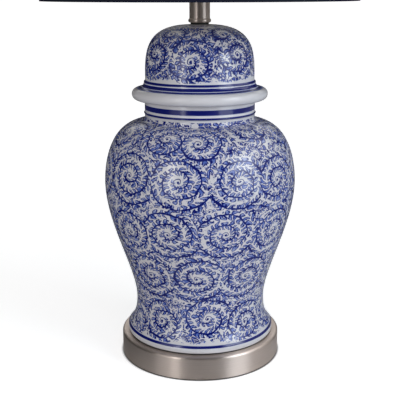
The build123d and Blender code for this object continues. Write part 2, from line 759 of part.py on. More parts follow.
pieces = {
    "felt_pad": disc(base_inner_r - LOOSE_GAP, 0, board_z),
    "bottom_board": disc(base_inner_r - LOOSE_GAP, board_z, board_top),
    "base_cover": base_cover(),
    "base_weight": ring(pipe_hole_r, weight_r, weight_z, base_underside),
    "cord_grommet": cord_grommet(),
    "bottom_washer": ring(pipe_hole_r, WASHER_R, bottom_washer_z, weight_z),
    "bottom_nut": hex_nut(bottom_nut_z),
    "threaded_pipe": ring(PIPE_BORE_R, PIPE_R, pipe_z, holder_z + CAP_HUB_H),
    "foot_gasket": ring(
        JAR_FOOT_R - FOOT_GASKET_INSET - FOOT_GASKET_W, JAR_FOOT_R - FOOT_GASKET_INSET, BASE_H, jar_z
    ),
    "jar": jar(),
    "lid_gasket": ring(COLLAR_R - COLLAR_ROUND - LID_GASKET_W, COLLAR_R - COLLAR_ROUND, jar_top, lid_z),
    "lid": lid(),
    "neck_washer": ring(pipe_hole_r, neck_seat_r, lid_top, neck_z),
    "neck_tube": neck_tube(),
    "neck_cap": neck_cap(),
    "top_nut": hex_nut(top_nut_z),
    "harp_saddle": harp_saddle(),
    "harp": harp(),
    "ferrule_left": ferrule(-1),
    "ferrule_right": ferrule(1),
    "harp_stud": harp_stud(),
    "socket_cap": socket_cap(),
    "socket_shell": socket_shell(),
    "socket_insulator": socket_insulator(),
    "socket_body": socket_body(),
    "terminal_screws": terminal_screws(),
    "screw_shell": screw_shell(),
    "centre_contact": centre_contact(),
    "switch_shaft": switch_shaft(),
    "switch_knob": switch_knob(),
    "bulb_contact": disc(BULB_CONTACT_R, bulb_z, bulb_insulator_z),
    "bulb_insulator": bulb_insulator(),
    "bulb_cap": bulb_cap(),
    "bulb_glass": bulb_glass(),
    "spider_hub": ring(hub_hole_r, HUB_R, hub_z, hub_z + HUB_T),
    "shade_top_ring": wire_ring(top_ring_z),
    "shade_bottom_ring": wire_ring(low_ring_z),
    "shade_liner": shade_band(liner_in, LINER_T, fabric_z, fabric_top),
    "shade_fabric": shade_band(fabric_in, FABRIC_T, fabric_z, fabric_top),
    "shade_bottom_trim": shade_trim(shade_z, 1),
    "shade_top_trim": shade_trim(shade_top, -1),
    "finial": finial(),
}
for number in range(SPIDER_ARMS):
    pieces[f"spider_arm_{number + 1}"] = spider_arm(number)

os.makedirs("parts", exist_ok=True)
for name, shape in pieces.items():
    export_step(shape, f"parts/{name}.step")
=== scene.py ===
import json
import math
import random

import bpy
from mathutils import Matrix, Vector


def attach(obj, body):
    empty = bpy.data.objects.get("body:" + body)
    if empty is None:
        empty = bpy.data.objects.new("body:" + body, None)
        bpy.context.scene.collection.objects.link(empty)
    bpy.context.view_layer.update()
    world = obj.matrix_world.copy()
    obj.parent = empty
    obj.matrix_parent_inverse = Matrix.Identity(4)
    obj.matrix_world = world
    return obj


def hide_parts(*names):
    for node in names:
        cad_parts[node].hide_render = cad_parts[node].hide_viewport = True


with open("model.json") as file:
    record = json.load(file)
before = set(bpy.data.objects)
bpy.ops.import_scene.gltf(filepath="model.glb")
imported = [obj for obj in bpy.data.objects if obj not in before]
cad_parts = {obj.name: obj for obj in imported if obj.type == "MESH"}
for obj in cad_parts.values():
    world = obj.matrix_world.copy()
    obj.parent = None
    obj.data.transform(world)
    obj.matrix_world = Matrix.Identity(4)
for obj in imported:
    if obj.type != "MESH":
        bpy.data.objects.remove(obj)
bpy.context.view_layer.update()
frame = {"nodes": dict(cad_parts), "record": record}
nodes = frame["nodes"]
scene = bpy.context.scene
MM = 0.001
WHITE = (1.0, 1.0, 1.0)


class Num:
    """A number inside a shader. Arithmetic on it adds Math nodes to the shader's tree."""

    def __init__(self, tree, socket):
        self.tree = tree
        self.socket = socket

    def math(self, operation, *others):
        node = self.tree.nodes.new("ShaderNodeMath")
        node.operation = operation
        for place, value in enumerate((self, *others)):
            if isinstance(value, Num):
                self.tree.links.new(value.socket, node.inputs[place])
            else:
                node.inputs[place].default_value = value
        return Num(self.tree, node.outputs[0])

    def __add__(self, other):
        return self.math("ADD", other)

    def __sub__(self, other):
        return self.math("SUBTRACT", other)

    def __mul__(self, other):
        return self.math("MULTIPLY", other)

    def __truediv__(self, other):
        return self.math("DIVIDE", other)

    def flip(self):
        """1 where this is 0, and 0 where this is 1."""
        return self * -1.0 + 1.0

    def span(self, low, high):
        """low where this is 0, high where this is 1, and straight between and beyond."""
        return self * (high - low) + low

    def rise(self, low, high):
        """0 below low, 1 above high, and straight between."""
        node = self.tree.nodes.new("ShaderNodeMapRange")
        self.tree.links.new(self.socket, node.inputs["Value"])
        node.inputs["From Min"].default_value = low
        node.inputs["From Max"].default_value = high
        return Num(self.tree, node.outputs["Result"])

    def band(self, low, high, edge):
        """1 between low and high, with soft edges, and 0 elsewhere."""
        return self.rise(low - edge, low + edge) * self.rise(high - edge, high + edge).flip()


class Paint:
    """A material with one Principled shader, and short ways to add nodes to it."""

    def __init__(self, name, roughness, metallic=0.0):
        self.material = bpy.data.materials.new(name)
        self.material.use_nodes = True
        self.tree = self.material.node_tree
        self.shader = self.tree.nodes["Principled BSDF"]
        self.shader.inputs["Roughness"].default_value = roughness
        self.shader.inputs["Metallic"].default_value = metallic

    def new(self, kind, **settings):
        node = self.tree.nodes.new("ShaderNode" + kind)
        for key, value in settings.items():
            setattr(node, key, value)
        return node

    def link(self, source, target):
        self.tree.links.new(source.socket if isinstance(source, Num) else source, target)

    def num(self, socket):
        return Num(self.tree, socket)

    def split(self, vector):
        """The three parts of a vector or colour socket."""
        node = self.new("SeparateXYZ")
        self.link(vector, node.inputs[0])
        return [self.num(out) for out in node.outputs]

    def place(self):
        """The point's x, y and z in metres."""
        return self.split(self.new("TexCoord").outputs["Object"])

    def attribute(self, name):
        """The three numbers that the mesh keeps under this name."""
        return self.split(self.new("Attribute", attribute_name=name).outputs["Vector"])

    def vector(self, *parts):
        join = self.new("CombineXYZ")
        for place, part in enumerate(parts):
            self.link(part, join.inputs[place])
        return join.outputs[0]

    def noise_node(self, scale, detail, vector=None):
        """A noise texture. Without a vector it follows the point's place, with scale in waves per metre."""
        node = self.new("TexNoise")
        node.inputs["Scale"].default_value = scale
        node.inputs["Detail"].default_value = detail
        if vector is None:
            vector = self.new("TexCoord").outputs["Object"]
        self.link(vector, node.inputs["Vector"])
        return node

    def noise(self, scale, detail, vector=None):
        """The value of a noise texture."""
        return self.num(self.noise_node(scale, detail, vector).outputs[0])

    def colours(self, amount, *stops):
        """A colour that follows amount through stops of (place, colour)."""
        ramp = self.new("ValToRGB")
        self.link(amount, ramp.inputs[0])
        points = ramp.color_ramp.elements
        while len(points) < len(stops):
            points.new(1.0)
        for point, (where, colour) in zip(points, stops):
            point.position = where
            point.color = (*colour, 1.0)
        return ramp.outputs[0]

    def bump(self, height, strength, distance):
        node = self.new("Bump")
        node.inputs["Strength"].default_value = strength
        node.inputs["Distance"].default_value = distance
        self.link(height, node.inputs["Height"])
        self.link(node.outputs["Normal"], self.shader.inputs["Normal"])

    def set(self, name, value):
        """Give a socket of the shader a constant value, or link a number or colour to it."""
        if isinstance(value, Num) or hasattr(value, "is_linked"):
            self.link(value, self.shader.inputs[name])
        else:
            self.shader.inputs[name].default_value = value


def srgb(red, green, blue):
    """A colour as picked on a screen, 0 to 255, in the renderer's linear units."""
    parts = []
    for part in (red, green, blue):
        share = part / 255
        parts.append(share / 12.92 if share <= 0.04045 else ((share + 0.055) / 1.055) ** 2.4)
    return tuple(parts)


def toned(colour, factor):
    """A darker or lighter colour, not past white."""
    return tuple(min(1.0, part * factor) for part in colour)


# Ceramic sizes in millimetres, the same as those of the solids, with heights above the table
PIPE_HOLE_R = 5.6
NECK_SEAT_R = 11.2
JAR_Z = 31.0
JAR_TOP = 330.0
JAR_WALL = 5.5
JAR_FLOOR_Z = 39.0
JAR_FOOT_R = 94.3
JAR_FOOT_TOP = 38.5
JAR_FOOT_ROUND = 1.5
JAR_WAIST_R = 82.6
JAR_WAIST_Z = 74.5
JAR_BELLY_R = 119.8
JAR_BELLY_Z = 228.7
JAR_SHOULDER_R = 72.0
JAR_SHOULDER_Z = 305.0
COLLAR_R = 68.3
COLLAR_WALL = 7.0
COLLAR_FOOT_Z = JAR_SHOULDER_Z + (JAR_SHOULDER_R - COLLAR_R)
COLLAR_PAINT_Z = 311.0  # the painted rows end below this height
COLLAR_BEAD_Z = 315.0
COLLAR_BEAD_R = 1.1
COLLAR_RINGS_Z = (317.5, 320.0, 326.0)  # extra rings, which keep the faces of the wall short
COLLAR_ROUND = 1.5
COLLAR_ROUND_START = 15.0  # degrees
LID_Z = 331.0
LID_TOP = 421.0
LID_WALL = 5.5
LID_WALL_R = 67.3
LID_WALL_Z = 355.0
LID_STEP = 1.6
LID_RIM_R = 84.0
LID_RIM_ROUND = 7.0
LID_FLANGE_TOP = 339.0
LID_LIP_R = 60.3
LID_LIP_W = 5.0
LID_LIP_Z = 321.0

# Lengths of the curves' handles in millimetres, and points along each curve
FOOT_SWEEP_IN = 1.2
FOOT_SWEEP_UP = 1.6
WAIST_SWEEP_DOWN = 27.0
WAIST_SWEEP_UP = 39.4
BELLY_SWEEP_DOWN = 54.6
BELLY_SWEEP_UP = 18.7
SHOULDER_SWEEP = 43.0
SHOULDER_FALL = 3.5
LID_FLARE_SWEEP = 5.0
LID_WALL_SWEEP = 31.0
LID_CROWN_SWEEP = 57.5
CURVE_STEPS = 160
FLARE_STEPS = 14
SHOULDER_STEPS = 12
RIM_STEPS = 20
BEAD_STEPS = 8
EDGE_STEPS = 4
COLLAR_EDGE_STEPS = 5


# Ceramic outlines as points of (radius, height)
def bezier(points, count):
    """Points along a Bezier curve, without its first point."""
    found = []
    for step in range(1, count + 1):
        share = step / count
        level = list(points)
        while len(level) > 1:
            level = [
                ((1 - share) * a[0] + share * b[0], (1 - share) * a[1] + share * b[1])
                for a, b in zip(level, level[1:])
            ]
        found.append(level[0])
    return found


def arc(centre, radius, start, end, count):
    """Points along an arc, with angles in degrees from the outward direction."""
    found = []
    for step in range(count + 1):
        angle = math.radians(start + (end - start) * step / count)
        found.append((centre[0] + radius * math.cos(angle), centre[1] + radius * math.sin(angle)))
    return found


def jar_foot():
    centre = (JAR_FOOT_R - JAR_FOOT_ROUND, JAR_Z + JAR_FOOT_ROUND)
    return arc(centre, JAR_FOOT_ROUND, -90, 0, EDGE_STEPS) + [(JAR_FOOT_R, JAR_FOOT_TOP)]


def jar_body():
    """From the foot's top edge over waist, belly and shoulder to the collar."""
    foot = (JAR_FOOT_R, JAR_FOOT_TOP)
    foot_handle = (JAR_FOOT_R - FOOT_SWEEP_IN, JAR_FOOT_TOP + FOOT_SWEEP_UP)
    waist = (JAR_WAIST_R, JAR_WAIST_Z)
    waist_below = (JAR_WAIST_R, JAR_WAIST_Z - WAIST_SWEEP_DOWN)
    waist_above = (JAR_WAIST_R, JAR_WAIST_Z + WAIST_SWEEP_UP)
    belly = (JAR_BELLY_R, JAR_BELLY_Z)
    belly_below = (JAR_BELLY_R, JAR_BELLY_Z - BELLY_SWEEP_DOWN)
    belly_above = (JAR_BELLY_R, JAR_BELLY_Z + BELLY_SWEEP_UP)
    shoulder = (JAR_SHOULDER_R, JAR_SHOULDER_Z)
    shoulder_handle = (JAR_SHOULDER_R + SHOULDER_SWEEP, JAR_SHOULDER_Z - SHOULDER_FALL)
    collar_handle = (COLLAR_R, JAR_SHOULDER_Z)
    collar_foot = (COLLAR_R, COLLAR_FOOT_Z)
    return (
        bezier([foot, foot_handle, waist_below, waist], CURVE_STEPS)
        + bezier([waist, waist_above, belly_below, belly], CURVE_STEPS)
        + bezier([belly, belly_above, shoulder_handle, shoulder], CURVE_STEPS)
        + bezier([shoulder, collar_handle, collar_foot], SHOULDER_STEPS)
    )


def jar_collar():
    round_z = JAR_TOP - COLLAR_ROUND
    centre = (COLLAR_R - COLLAR_ROUND, round_z)
    return (
        [(COLLAR_R, COLLAR_PAINT_Z)]
        + arc((COLLAR_R, COLLAR_BEAD_Z), COLLAR_BEAD_R, -90, 90, BEAD_STEPS)
        + [(COLLAR_R, height) for height in (*COLLAR_RINGS_Z, round_z)]
        + arc(centre, COLLAR_ROUND, COLLAR_ROUND_START, 90, COLLAR_EDGE_STEPS)
    )


def jar_inside():
    """The unseen inside, from the mouth down to the floor's hole. Between named sizes it follows the wall."""
    mouth_r = COLLAR_R - COLLAR_WALL
    waist_r = JAR_WAIST_R - JAR_WALL
    return [
        (mouth_r, JAR_TOP),
        (mouth_r, 306.0),
        (66.5, 299.5),
        (92.0, 291.0),
        (107.0, 273.0),
        (113.0, 250.0),
        (JAR_BELLY_R - JAR_WALL, JAR_BELLY_Z),
        (111.0, 195.0),
        (98.0, 150.0),
        (82.0, 105.0),
        (waist_r, JAR_WAIST_Z),
        (waist_r, JAR_FLOOR_Z),
        (PIPE_HOLE_R, JAR_FLOOR_Z),
        (PIPE_HOLE_R, JAR_Z),
    ]


def lid_rim():
    """The rolled rim and the flare above it, up to the foot of the wall."""
    rim_r = LID_RIM_R - LID_RIM_ROUND
    rim_z = LID_Z + LID_RIM_ROUND
    rim_top = rim_z + LID_RIM_ROUND
    flare_r = LID_WALL_R + LID_STEP
    flare_top = LID_WALL_Z - LID_STEP
    flare = [
        (rim_r, rim_top),
        (rim_r - LID_FLARE_SWEEP, rim_top),
        (flare_r, flare_top - LID_FLARE_SWEEP),
        (flare_r, flare_top),
    ]
    rim = arc((rim_r, rim_z), LID_RIM_ROUND, -90, 90, RIM_STEPS)
    return rim + bezier(flare, FLARE_STEPS) + [(LID_WALL_R, LID_WALL_Z)]


def lid_dome():
    dome = [
        (LID_WALL_R, LID_WALL_Z),
        (LID_WALL_R, LID_WALL_Z + LID_WALL_SWEEP),
        (NECK_SEAT_R + LID_CROWN_SWEEP, LID_TOP),
        (NECK_SEAT_R, LID_TOP),
    ]
    return bezier(dome, CURVE_STEPS)


def lid_inside():
    """The unseen inside, from the neck's seat down to the lip. Between named sizes it follows the wall."""
    crown_z = LID_TOP - LID_WALL
    wall_r = LID_WALL_R - LID_WALL
    lip_inner_r = LID_LIP_R - LID_LIP_W
    return [
        (PIPE_HOLE_R, LID_TOP),
        (PIPE_HOLE_R, crown_z),
        (NECK_SEAT_R, crown_z),
        (35.0, 412.0),
        (50.0, 405.0),
        (59.0, 389.0),
        (wall_r, LID_WALL_Z),
        (wall_r, LID_FLANGE_TOP),
        (lip_inner_r, LID_FLANGE_TOP),
        (lip_inner_r, LID_LIP_Z),
        (LID_LIP_R, LID_LIP_Z),
        (LID_LIP_R, LID_Z),
    ]


class Chart:
    """A turned outline by its even measure: length along the outline over radius, summed."""

    def __init__(self, outline):
        self.points = [(0.0, *outline[0])]
        for a, b in zip(outline, outline[1:]):
            step = math.dist(a, b) / ((a[0] + b[0]) / 2)
            self.points.append((self.points[-1][0] + step, *b))
        self.end = self.points[-1][0]

    def at(self, measure):
        """(radius, height) at this measure."""
        for a, b in zip(self.points, self.points[1:]):
            if measure <= b[0]:
                share = (measure - a[0]) / (b[0] - a[0])
                return (a[1] + (b[1] - a[1]) * share, a[2] + (b[2] - a[2]) * share)
        return self.points[-1][1:]

    def of(self, height):
        """The measure at this height."""
        for a, b in zip(self.points, self.points[1:]):
            if a[2] <= height <= b[2]:
                return a[0] + (b[0] - a[0]) * (height - a[2]) / max(b[2] - a[2], 1e-9)
        return self.end


# Painted scrolls: heights and sizes in millimetres, angles in degrees from the front
COLUMNS = 240  # faces round a turned piece
FACE_CORNERS = 4
RINGS_PER_ROW = 24
TURN_PITCH = 12.8  # between two turns of a large scroll's stem
SCROLL_WIDTH = 1.18  # a large scroll's width, as a share of its height
SMALL_WIDTH = 1.0
SMALL_SCROLL = 0.46  # a small scroll's reach, as a share of that of its row's large ones
SMALL_PITCH = 0.78  # and its pitch, as a share of theirs
SCROLL_TILT = (55, 125)  # the least and the most that a scroll is turned, in degrees
SEEDS_PER_ROW = 40
SEEDS_ABOVE = 300
SEEDS_BELOW = 600
NO_SCROLL = (9.0, 9.0, 0.0)  # far from any middle, and without a seed
NO_TURNS = (0.0, 0.0, 0.0)
JAR_INK = 0.0
JAR_ROW_EDGES = (41.2, 92.5, 156.0, 218.0, 277.0, 310.8)
LID_INK = 0.22  # how much more heavily the lid is painted
LID_ROW_EDGES = (356.2, 405.5, 420.5)
LID_CROWN_Z = 420.55  # above this the lid is plain


class Scroll:
    """A scroll of a row: its middle (degrees, measure), its number of turns and its own direction."""

    def __init__(self, chart, angle, measure, size, pitch, width, seed, ink=0.0):
        self.angle = angle
        self.measure = measure
        self.turns = size / pitch
        self.step_y = pitch / chart.at(measure)[0]
        self.step_x = self.step_y * width
        self.seed = seed
        self.ink = ink
        dice = random.Random(seed)
        turn = math.radians(dice.uniform(*SCROLL_TILT))
        self.cosine = math.cos(turn)
        self.sine = math.sin(turn)
        self.mirror = dice.choice((-1, 1))

    def offset(self, angle, measure):
        """A point's (x, y) from the scroll's middle, in turns."""
        across = (angle - self.angle + 180) % 360 - 180
        return math.radians(across) / self.step_x, (measure - self.measure) / self.step_y

    def reach(self, angle, measure):
        """A point's distance from the middle, as a share of the scroll's size."""
        return math.hypot(*self.offset(angle, measure)) / self.turns

    def numbers(self, angle, measure):
        """What the glaze needs at a point: (x, y) in turns, in the scroll's own direction, and the seed."""
        x, y = self.offset(angle, measure)
        turned = (y * self.cosine - x * self.sine) * self.mirror
        return (x * self.cosine + y * self.sine, turned, self.seed)


class Row:
    """A row of scrolls round a ceramic piece, with small scrolls above and below its gaps.

    The row lies between the heights low and high. front has (angle, height) of the scrolls seen at the
    front. The rest of the count are spread over the back, at the height middle.
    """

    def __init__(self, chart, ink, index, low, high, middle, size, front, count):
        self.low = chart.of(low)
        self.high = chart.of(high)
        first = front[0][0]
        last = front[-1][0]
        gap = (360 - (last - first)) / (count - len(front) + 1)
        back = [(last + gap * (step + 1), middle) for step in range(count - len(front))]
        places = [(angle, chart.of(height)) for angle, height in front + back]
        small_size = size * SMALL_SCROLL
        small_pitch = TURN_PITCH * SMALL_PITCH
        self.large = []
        self.small = []
        for number, (angle, measure) in enumerate(places):
            seed = index * SEEDS_PER_ROW + number + 1
            scroll = Scroll(chart, angle, measure, size, TURN_PITCH, SCROLL_WIDTH, seed, ink)
            self.large.append(scroll)
            after = places[(number + 1) % len(places)][0]
            between = angle + ((after - angle) % 360) / 2
            for edge, kind in ((self.high, SEEDS_ABOVE), (self.low, SEEDS_BELOW)):
                scroll = Scroll(chart, between, edge, small_size, small_pitch, SMALL_WIDTH, seed + kind)
                self.small.append(scroll)


def nearest(scrolls, angle, measure):
    return min(scrolls, key=lambda scroll: scroll.reach(angle, measure))


def painted_rings(chart, rows, steps):
    """Rings through the rows' edges, and the row that each ring starts in."""
    rings = []
    row_of_ring = {}
    for index, row in enumerate(rows):
        for step in range(steps):
            measure = row.low + (row.high - row.low) * step / steps
            row_of_ring[len(rings)] = index
            rings.append((*chart.at(measure), measure))
    rings.append((*chart.at(rows[-1].high), rows[-1].high))
    return rings, row_of_ring


def plain_rings(outline):
    return [(radius, height, 0.0) for radius, height in outline]


def corners(ring, column, count):
    """The four (ring, column) corners of a face, with column not wrapped."""
    after = (ring + 1) % count
    return ((ring, column), (ring, column + 1), (after, column + 1), (after, column))


def turned_piece(name, rings):
    """A closed turned mesh in metres. rings are (radius, height, measure) in order round the outline."""
    points = []
    for radius, height, _ in rings:
        for column in range(COLUMNS):
            angle = 2 * math.pi * column / COLUMNS
            points.append((radius * MM * math.sin(angle), -radius * MM * math.cos(angle), height * MM))
    faces = []
    for ring in range(len(rings)):
        for column in range(COLUMNS):
            faces.append([at * COLUMNS + side % COLUMNS for at, side in corners(ring, column, len(rings))])
    mesh = bpy.data.meshes.new(name)
    mesh.from_pydata(points, [], faces)
    mesh.polygons.foreach_set("use_smooth", [True] * len(faces))
    piece = bpy.data.objects.new(name, mesh)
    scene.collection.objects.link(piece)
    return piece


def write_scrolls(mesh, rings, rows, row_of_ring):
    """Give each corner of the mesh its place on the nearest large and small scroll."""
    large = []
    small = []
    turns = []
    ring_corners = FACE_CORNERS * COLUMNS
    for ring in range(len(rings)):
        index = row_of_ring.get(ring)
        if index is None:
            large.extend(NO_SCROLL * ring_corners)
            small.extend(NO_SCROLL * ring_corners)
            turns.extend(NO_TURNS * ring_corners)
            continue
        near = rows[max(index - 1, 0):index + 2]
        large_near = [scroll for row in near for scroll in row.large]
        small_near = [scroll for row in near for scroll in row.small]
        measure = (rings[ring][2] + rings[ring + 1][2]) / 2
        for column in range(COLUMNS):
            angle = (column + 0.5) * 360 / COLUMNS
            owner = nearest(large_near, angle, measure)
            small_owner = nearest(small_near, angle, measure)
            for at, side in corners(ring, column, len(rings)):
                place = (side * 360 / COLUMNS, rings[at][2])
                large.extend(owner.numbers(*place))
                small.extend(small_owner.numbers(*place))
                turns.extend((owner.turns, small_owner.turns, owner.ink))
    for name, values in (("large_scroll", large), ("small_scroll", small), ("scroll_turns", turns)):
        mesh.attributes.new(name, "FLOAT_VECTOR", "CORNER").data.foreach_set("vector", values)


def ceramic(name, below, chart, rows, above):
    """A painted ceramic piece: plain rings, the painted rows, then plain rings back to the start."""
    painted, row_of_ring = painted_rings(chart, rows, RINGS_PER_ROW)
    start = plain_rings(below)
    rings = start + painted + plain_rings(above)
    piece = turned_piece(name, rings)
    write_scrolls(piece.data, rings, rows, {ring + len(start): row for ring, row in row_of_ring.items()})
    return piece


def rows_of(chart, ink, edges, *rows):
    """Rows from the bottom up, between neighbouring edges, each given as (middle, size, front, count)."""
    spans = zip(edges, edges[1:], rows)
    return [Row(chart, ink, index, low, high, *row) for index, (low, high, row) in enumerate(spans)]


def glazed_jar():
    """The jar. Its front scrolls are where the photograph has them."""
    foot = jar_foot()
    collar = jar_collar()
    chart = Chart(foot[-1:] + jar_body() + collar[:1])
    rows = rows_of(
        chart,
        JAR_INK,
        JAR_ROW_EDGES,
        (63.0, 27.0, [(-67, 54), (-34, 64), (6, 72), (42, 61)], 10),
        (127.0, 34.0, [(-39, 127), (-2, 127), (36, 126)], 9),
        (184.5, 37.0, [(-47, 182), (-19, 187), (15, 187), (50, 182)], 10),
        (250.0, 37.0, [(-44, 252), (-12, 251), (23, 250), (50, 246)], 11),
        (295.0, 30.0, [(-66, 297), (-23, 295), (-1, 292), (41, 304), (72, 297)], 12),
    )
    return ceramic("jar_glazed", foot, chart, rows, collar + jar_inside())


def glazed_lid():
    """The lid, painted up to just below its crown. Its front scrolls are where the photograph has them."""
    rim = lid_rim()
    dome = lid_dome()
    chart = Chart(rim[-1:] + dome)
    rows = rows_of(
        chart,
        LID_INK,
        LID_ROW_EDGES,
        (384.0, 28.0, [(-54, 388), (-9, 381), (42, 388)], 8),
        (412.0, 22.0, [(-40, 411), (31, 411)], 6),
    )
    crown = [point for point in dome if point[1] > LID_CROWN_Z]
    return ceramic("lid_glazed", rim, chart, rows, crown + lid_inside())


# Glaze: white, with cobalt scrolls and lines. Heights are in metres
GLAZE = srgb(215, 213, 217)
GLAZE_TINT = srgb(165, 173, 205)
WASH = srgb(78, 102, 184)
COBALT = srgb(8, 20, 104)
STRIPES = (
    (0.0378, 0.0405),
    (0.3138, 0.3162),
    (0.3193, 0.3253),
    (0.3451, 0.3465),
    (0.3472, 0.3508),
    (0.3521, 0.3548),
)
STRIPE_EDGE = 0.0002
SCROLL_HEMS = ((0.034, 0.0398), (0.350, 0.3560))  # kept free of large scrolls
GAP_HEMS = ((0.034, 0.0440), (0.350, 0.3595))  # kept free of what fills the gaps
HEM_EDGE = 0.0004
SPRIG_BAND = (0.3030, 0.3120)  # below the collar, where sprigs alone fill the gaps
SPRIG_BAND_EDGE = 0.0005
SPRIG_SCALE = 185.0
SPRIG_TWIST = 0.012
SPRIG_EDGE = (0.04, 0.07)
SPRIG_OUTLINE = (0.18, 0.24)
SPRIG_TONE = (0.65, 1.0)
SPRIGS_LEFT_OUT = 0.16  # the share of places that stay bare

# Painting hand: noises in waves per metre, and what they do
WOBBLE_SCALE = 85.0
PRESS_SCALE = 30.0
ROUGH_SCALE = 430.0
SCROLL_WOBBLE = 0.48  # in turns
LEAF_DRIFT = 2.0  # in leaves
LEAF_RAGGED = 0.5
LEAF_SWELL = 0.01
LEAF_SWELL_INK = 0.25
STEM_WEIGHT = 0.042
STEM_WEIGHT_PRESS = 0.045
STEM_WEIGHT_INK = 0.06
STEM_PRESS = (0.5, 0.75)
TONE_PRESS = (0.3, 0.65)
PRESS_TONE = (0.85, 1.0)
HEM_PRESS = 0.012  # metres
HEM_ROUGH = 0.006
PAINTED_SEED = (0.2, 0.8)  # seeds are 1 or more, and 0 where nothing is painted
GLAZE_ROUGHNESS = 0.17
GLAZE_RIPPLE_SCALE = 60.0

# Stem of a scroll, in turns
CORE = 0.40  # within this radius the stem winds more tightly
CORE_WINDING = 2.2
CORE_DOT = (0.09, 0.12)
CORE_STEM = 0.035  # extra weight of the stem near the middle
CORE_STEM_TURNS = (0.30, 0.60)
OUTER_STEM = 0.025  # and on the outer turns
OUTER_STEM_TURNS = (1.6, 2.8)
STEM_EDGE = 0.03

# Leaves: lengths as shares of the space between two turns, widths as shares of the space between two leaves
LEAVES = 10.5
LEAF_CROWDING = 1.5  # the power by which outer turns have more leaves
LEAF_HOOK = 2.4
LEAF_STAGGER = 0.5
LEAF_START_TURNS = (0.15, 0.25)
LEAF_LENGTH = (0.33, 0.55)
LEAF_WIDTH = (0.45, 0.55)
LEAF_TAPER = (0.48, 0.98)
LEAF_TIP_POWER = 4.0
LEAF_EDGE = (-0.01, 0.03)
LEAF_OUTLINE = (0.18, 0.23)
LEAF_TONE = (0.27, 0.57)
EYE_PLACE = 0.68
EYE_STRETCH = 2.2
EYE_EDGE = (0.10, 0.18)
EYE_TONE = (0.4, 1.0)
DARKER_OUTLINE = 0.3
DARKER_TONE = 0.4
SIDE_SEED = 0.37
SCROLL_SEED = 7.13


def leafy_scroll(paint, x, y, seed, turns, brush):
    """The ink of a scroll: a stem that winds out from its middle, with hooked leaves on both sides.

    x and y are the point's place from the middle, in turns. Also gives 1 where the point lies within the
    scroll's number of turns. brush gives the painting hand: the drift of the leaves along the stem, the
    raggedness of their edges, the weight of the stem, and how much more heavily the piece is painted.
    """
    drift, ragged, weight, darker = brush
    radius = (x * x + y * y).math("SQRT")
    angle = y.math("ARCTAN2", x) * (0.5 / math.pi)
    wound = radius - (radius * -1.0 + CORE).math("MAXIMUM", 0.0) * CORE_WINDING
    reach = wound - angle
    turn = reach.math("ROUND")
    side = reach - turn
    off = side.math("ABSOLUTE")
    along = turn + angle
    outer = side.math("GREATER_THAN", 0.0)
    leaves = along.math("MAXIMUM", 0.0).math("POWER", LEAF_CROWDING) * LEAVES
    step = leaves + drift + off * off * LEAF_HOOK + outer * LEAF_STAGGER
    leaf = step.math("FLOOR")
    chance = paint.new("TexWhiteNoise", noise_dimensions="1D")
    paint.link(leaf + outer * SIDE_SEED + seed * SCROLL_SEED, chance.inputs["W"])
    luck = paint.num(chance.outputs["Value"])
    across = step - leaf - 0.5
    length = luck.span(*LEAF_LENGTH)
    share = off / length
    swell = share.math("POWER", LEAF_TIP_POWER).flip().math("MAXIMUM", 0.0).math("SQRT")
    width = share.span(*LEAF_TAPER) * swell * luck.span(*LEAF_WIDTH)
    depth = width - across.math("ABSOLUTE") + ragged
    inside = (depth - darker * DARKER_OUTLINE).rise(*LEAF_OUTLINE)
    eye_off = (off - length * EYE_PLACE) * EYE_STRETCH
    eye = (across * across + eye_off * eye_off).math("SQRT").rise(*EYE_EDGE)
    tone = (luck.span(*LEAF_TONE) + darker * DARKER_TONE) * eye.span(*EYE_TONE)
    leaf_ink = depth.rise(*LEAF_EDGE) * (inside.flip() + inside * tone) * along.rise(*LEAF_START_TURNS)
    core_stem = along.rise(*CORE_STEM_TURNS).flip() * CORE_STEM
    outer_stem = along.rise(*OUTER_STEM_TURNS) * OUTER_STEM
    stem = (off - weight - (core_stem + outer_stem)).rise(0.0, STEM_EDGE).flip()
    stem_ink = stem.math("MAXIMUM", radius.rise(*CORE_DOT).flip())
    return leaf_ink.math("MAXIMUM", stem_ink), along.math("LESS_THAN", turns)


def sprig_leaves(paint, wobble, x, y, height):
    """The ink of small leaves, close together, that fill what the scrolls leave free."""
    twist = [part * SPRIG_TWIST for part in wobble]
    place = paint.vector(x + twist[0], y + twist[1], height + twist[2])
    cells = [paint.new("TexVoronoi", feature=feature) for feature in ("DISTANCE_TO_EDGE", "F1")]
    for cell in cells:
        cell.inputs["Scale"].default_value = SPRIG_SCALE
        paint.link(place, cell.inputs["Vector"])
    edge = paint.num(cells[0].outputs["Distance"])
    kind = paint.new("SeparateColor")
    paint.link(cells[1].outputs["Color"], kind.inputs[0])
    leafy = paint.num(kind.outputs[0]).math("GREATER_THAN", SPRIGS_LEFT_OUT)
    return edge.rise(*SPRIG_EDGE) * edge.rise(*SPRIG_OUTLINE).flip().span(*SPRIG_TONE) * leafy


def hems(height, bands):
    """1 inside any of the bands of height."""
    first, second = (height.band(low, high, HEM_EDGE) for low, high in bands)
    return first + second


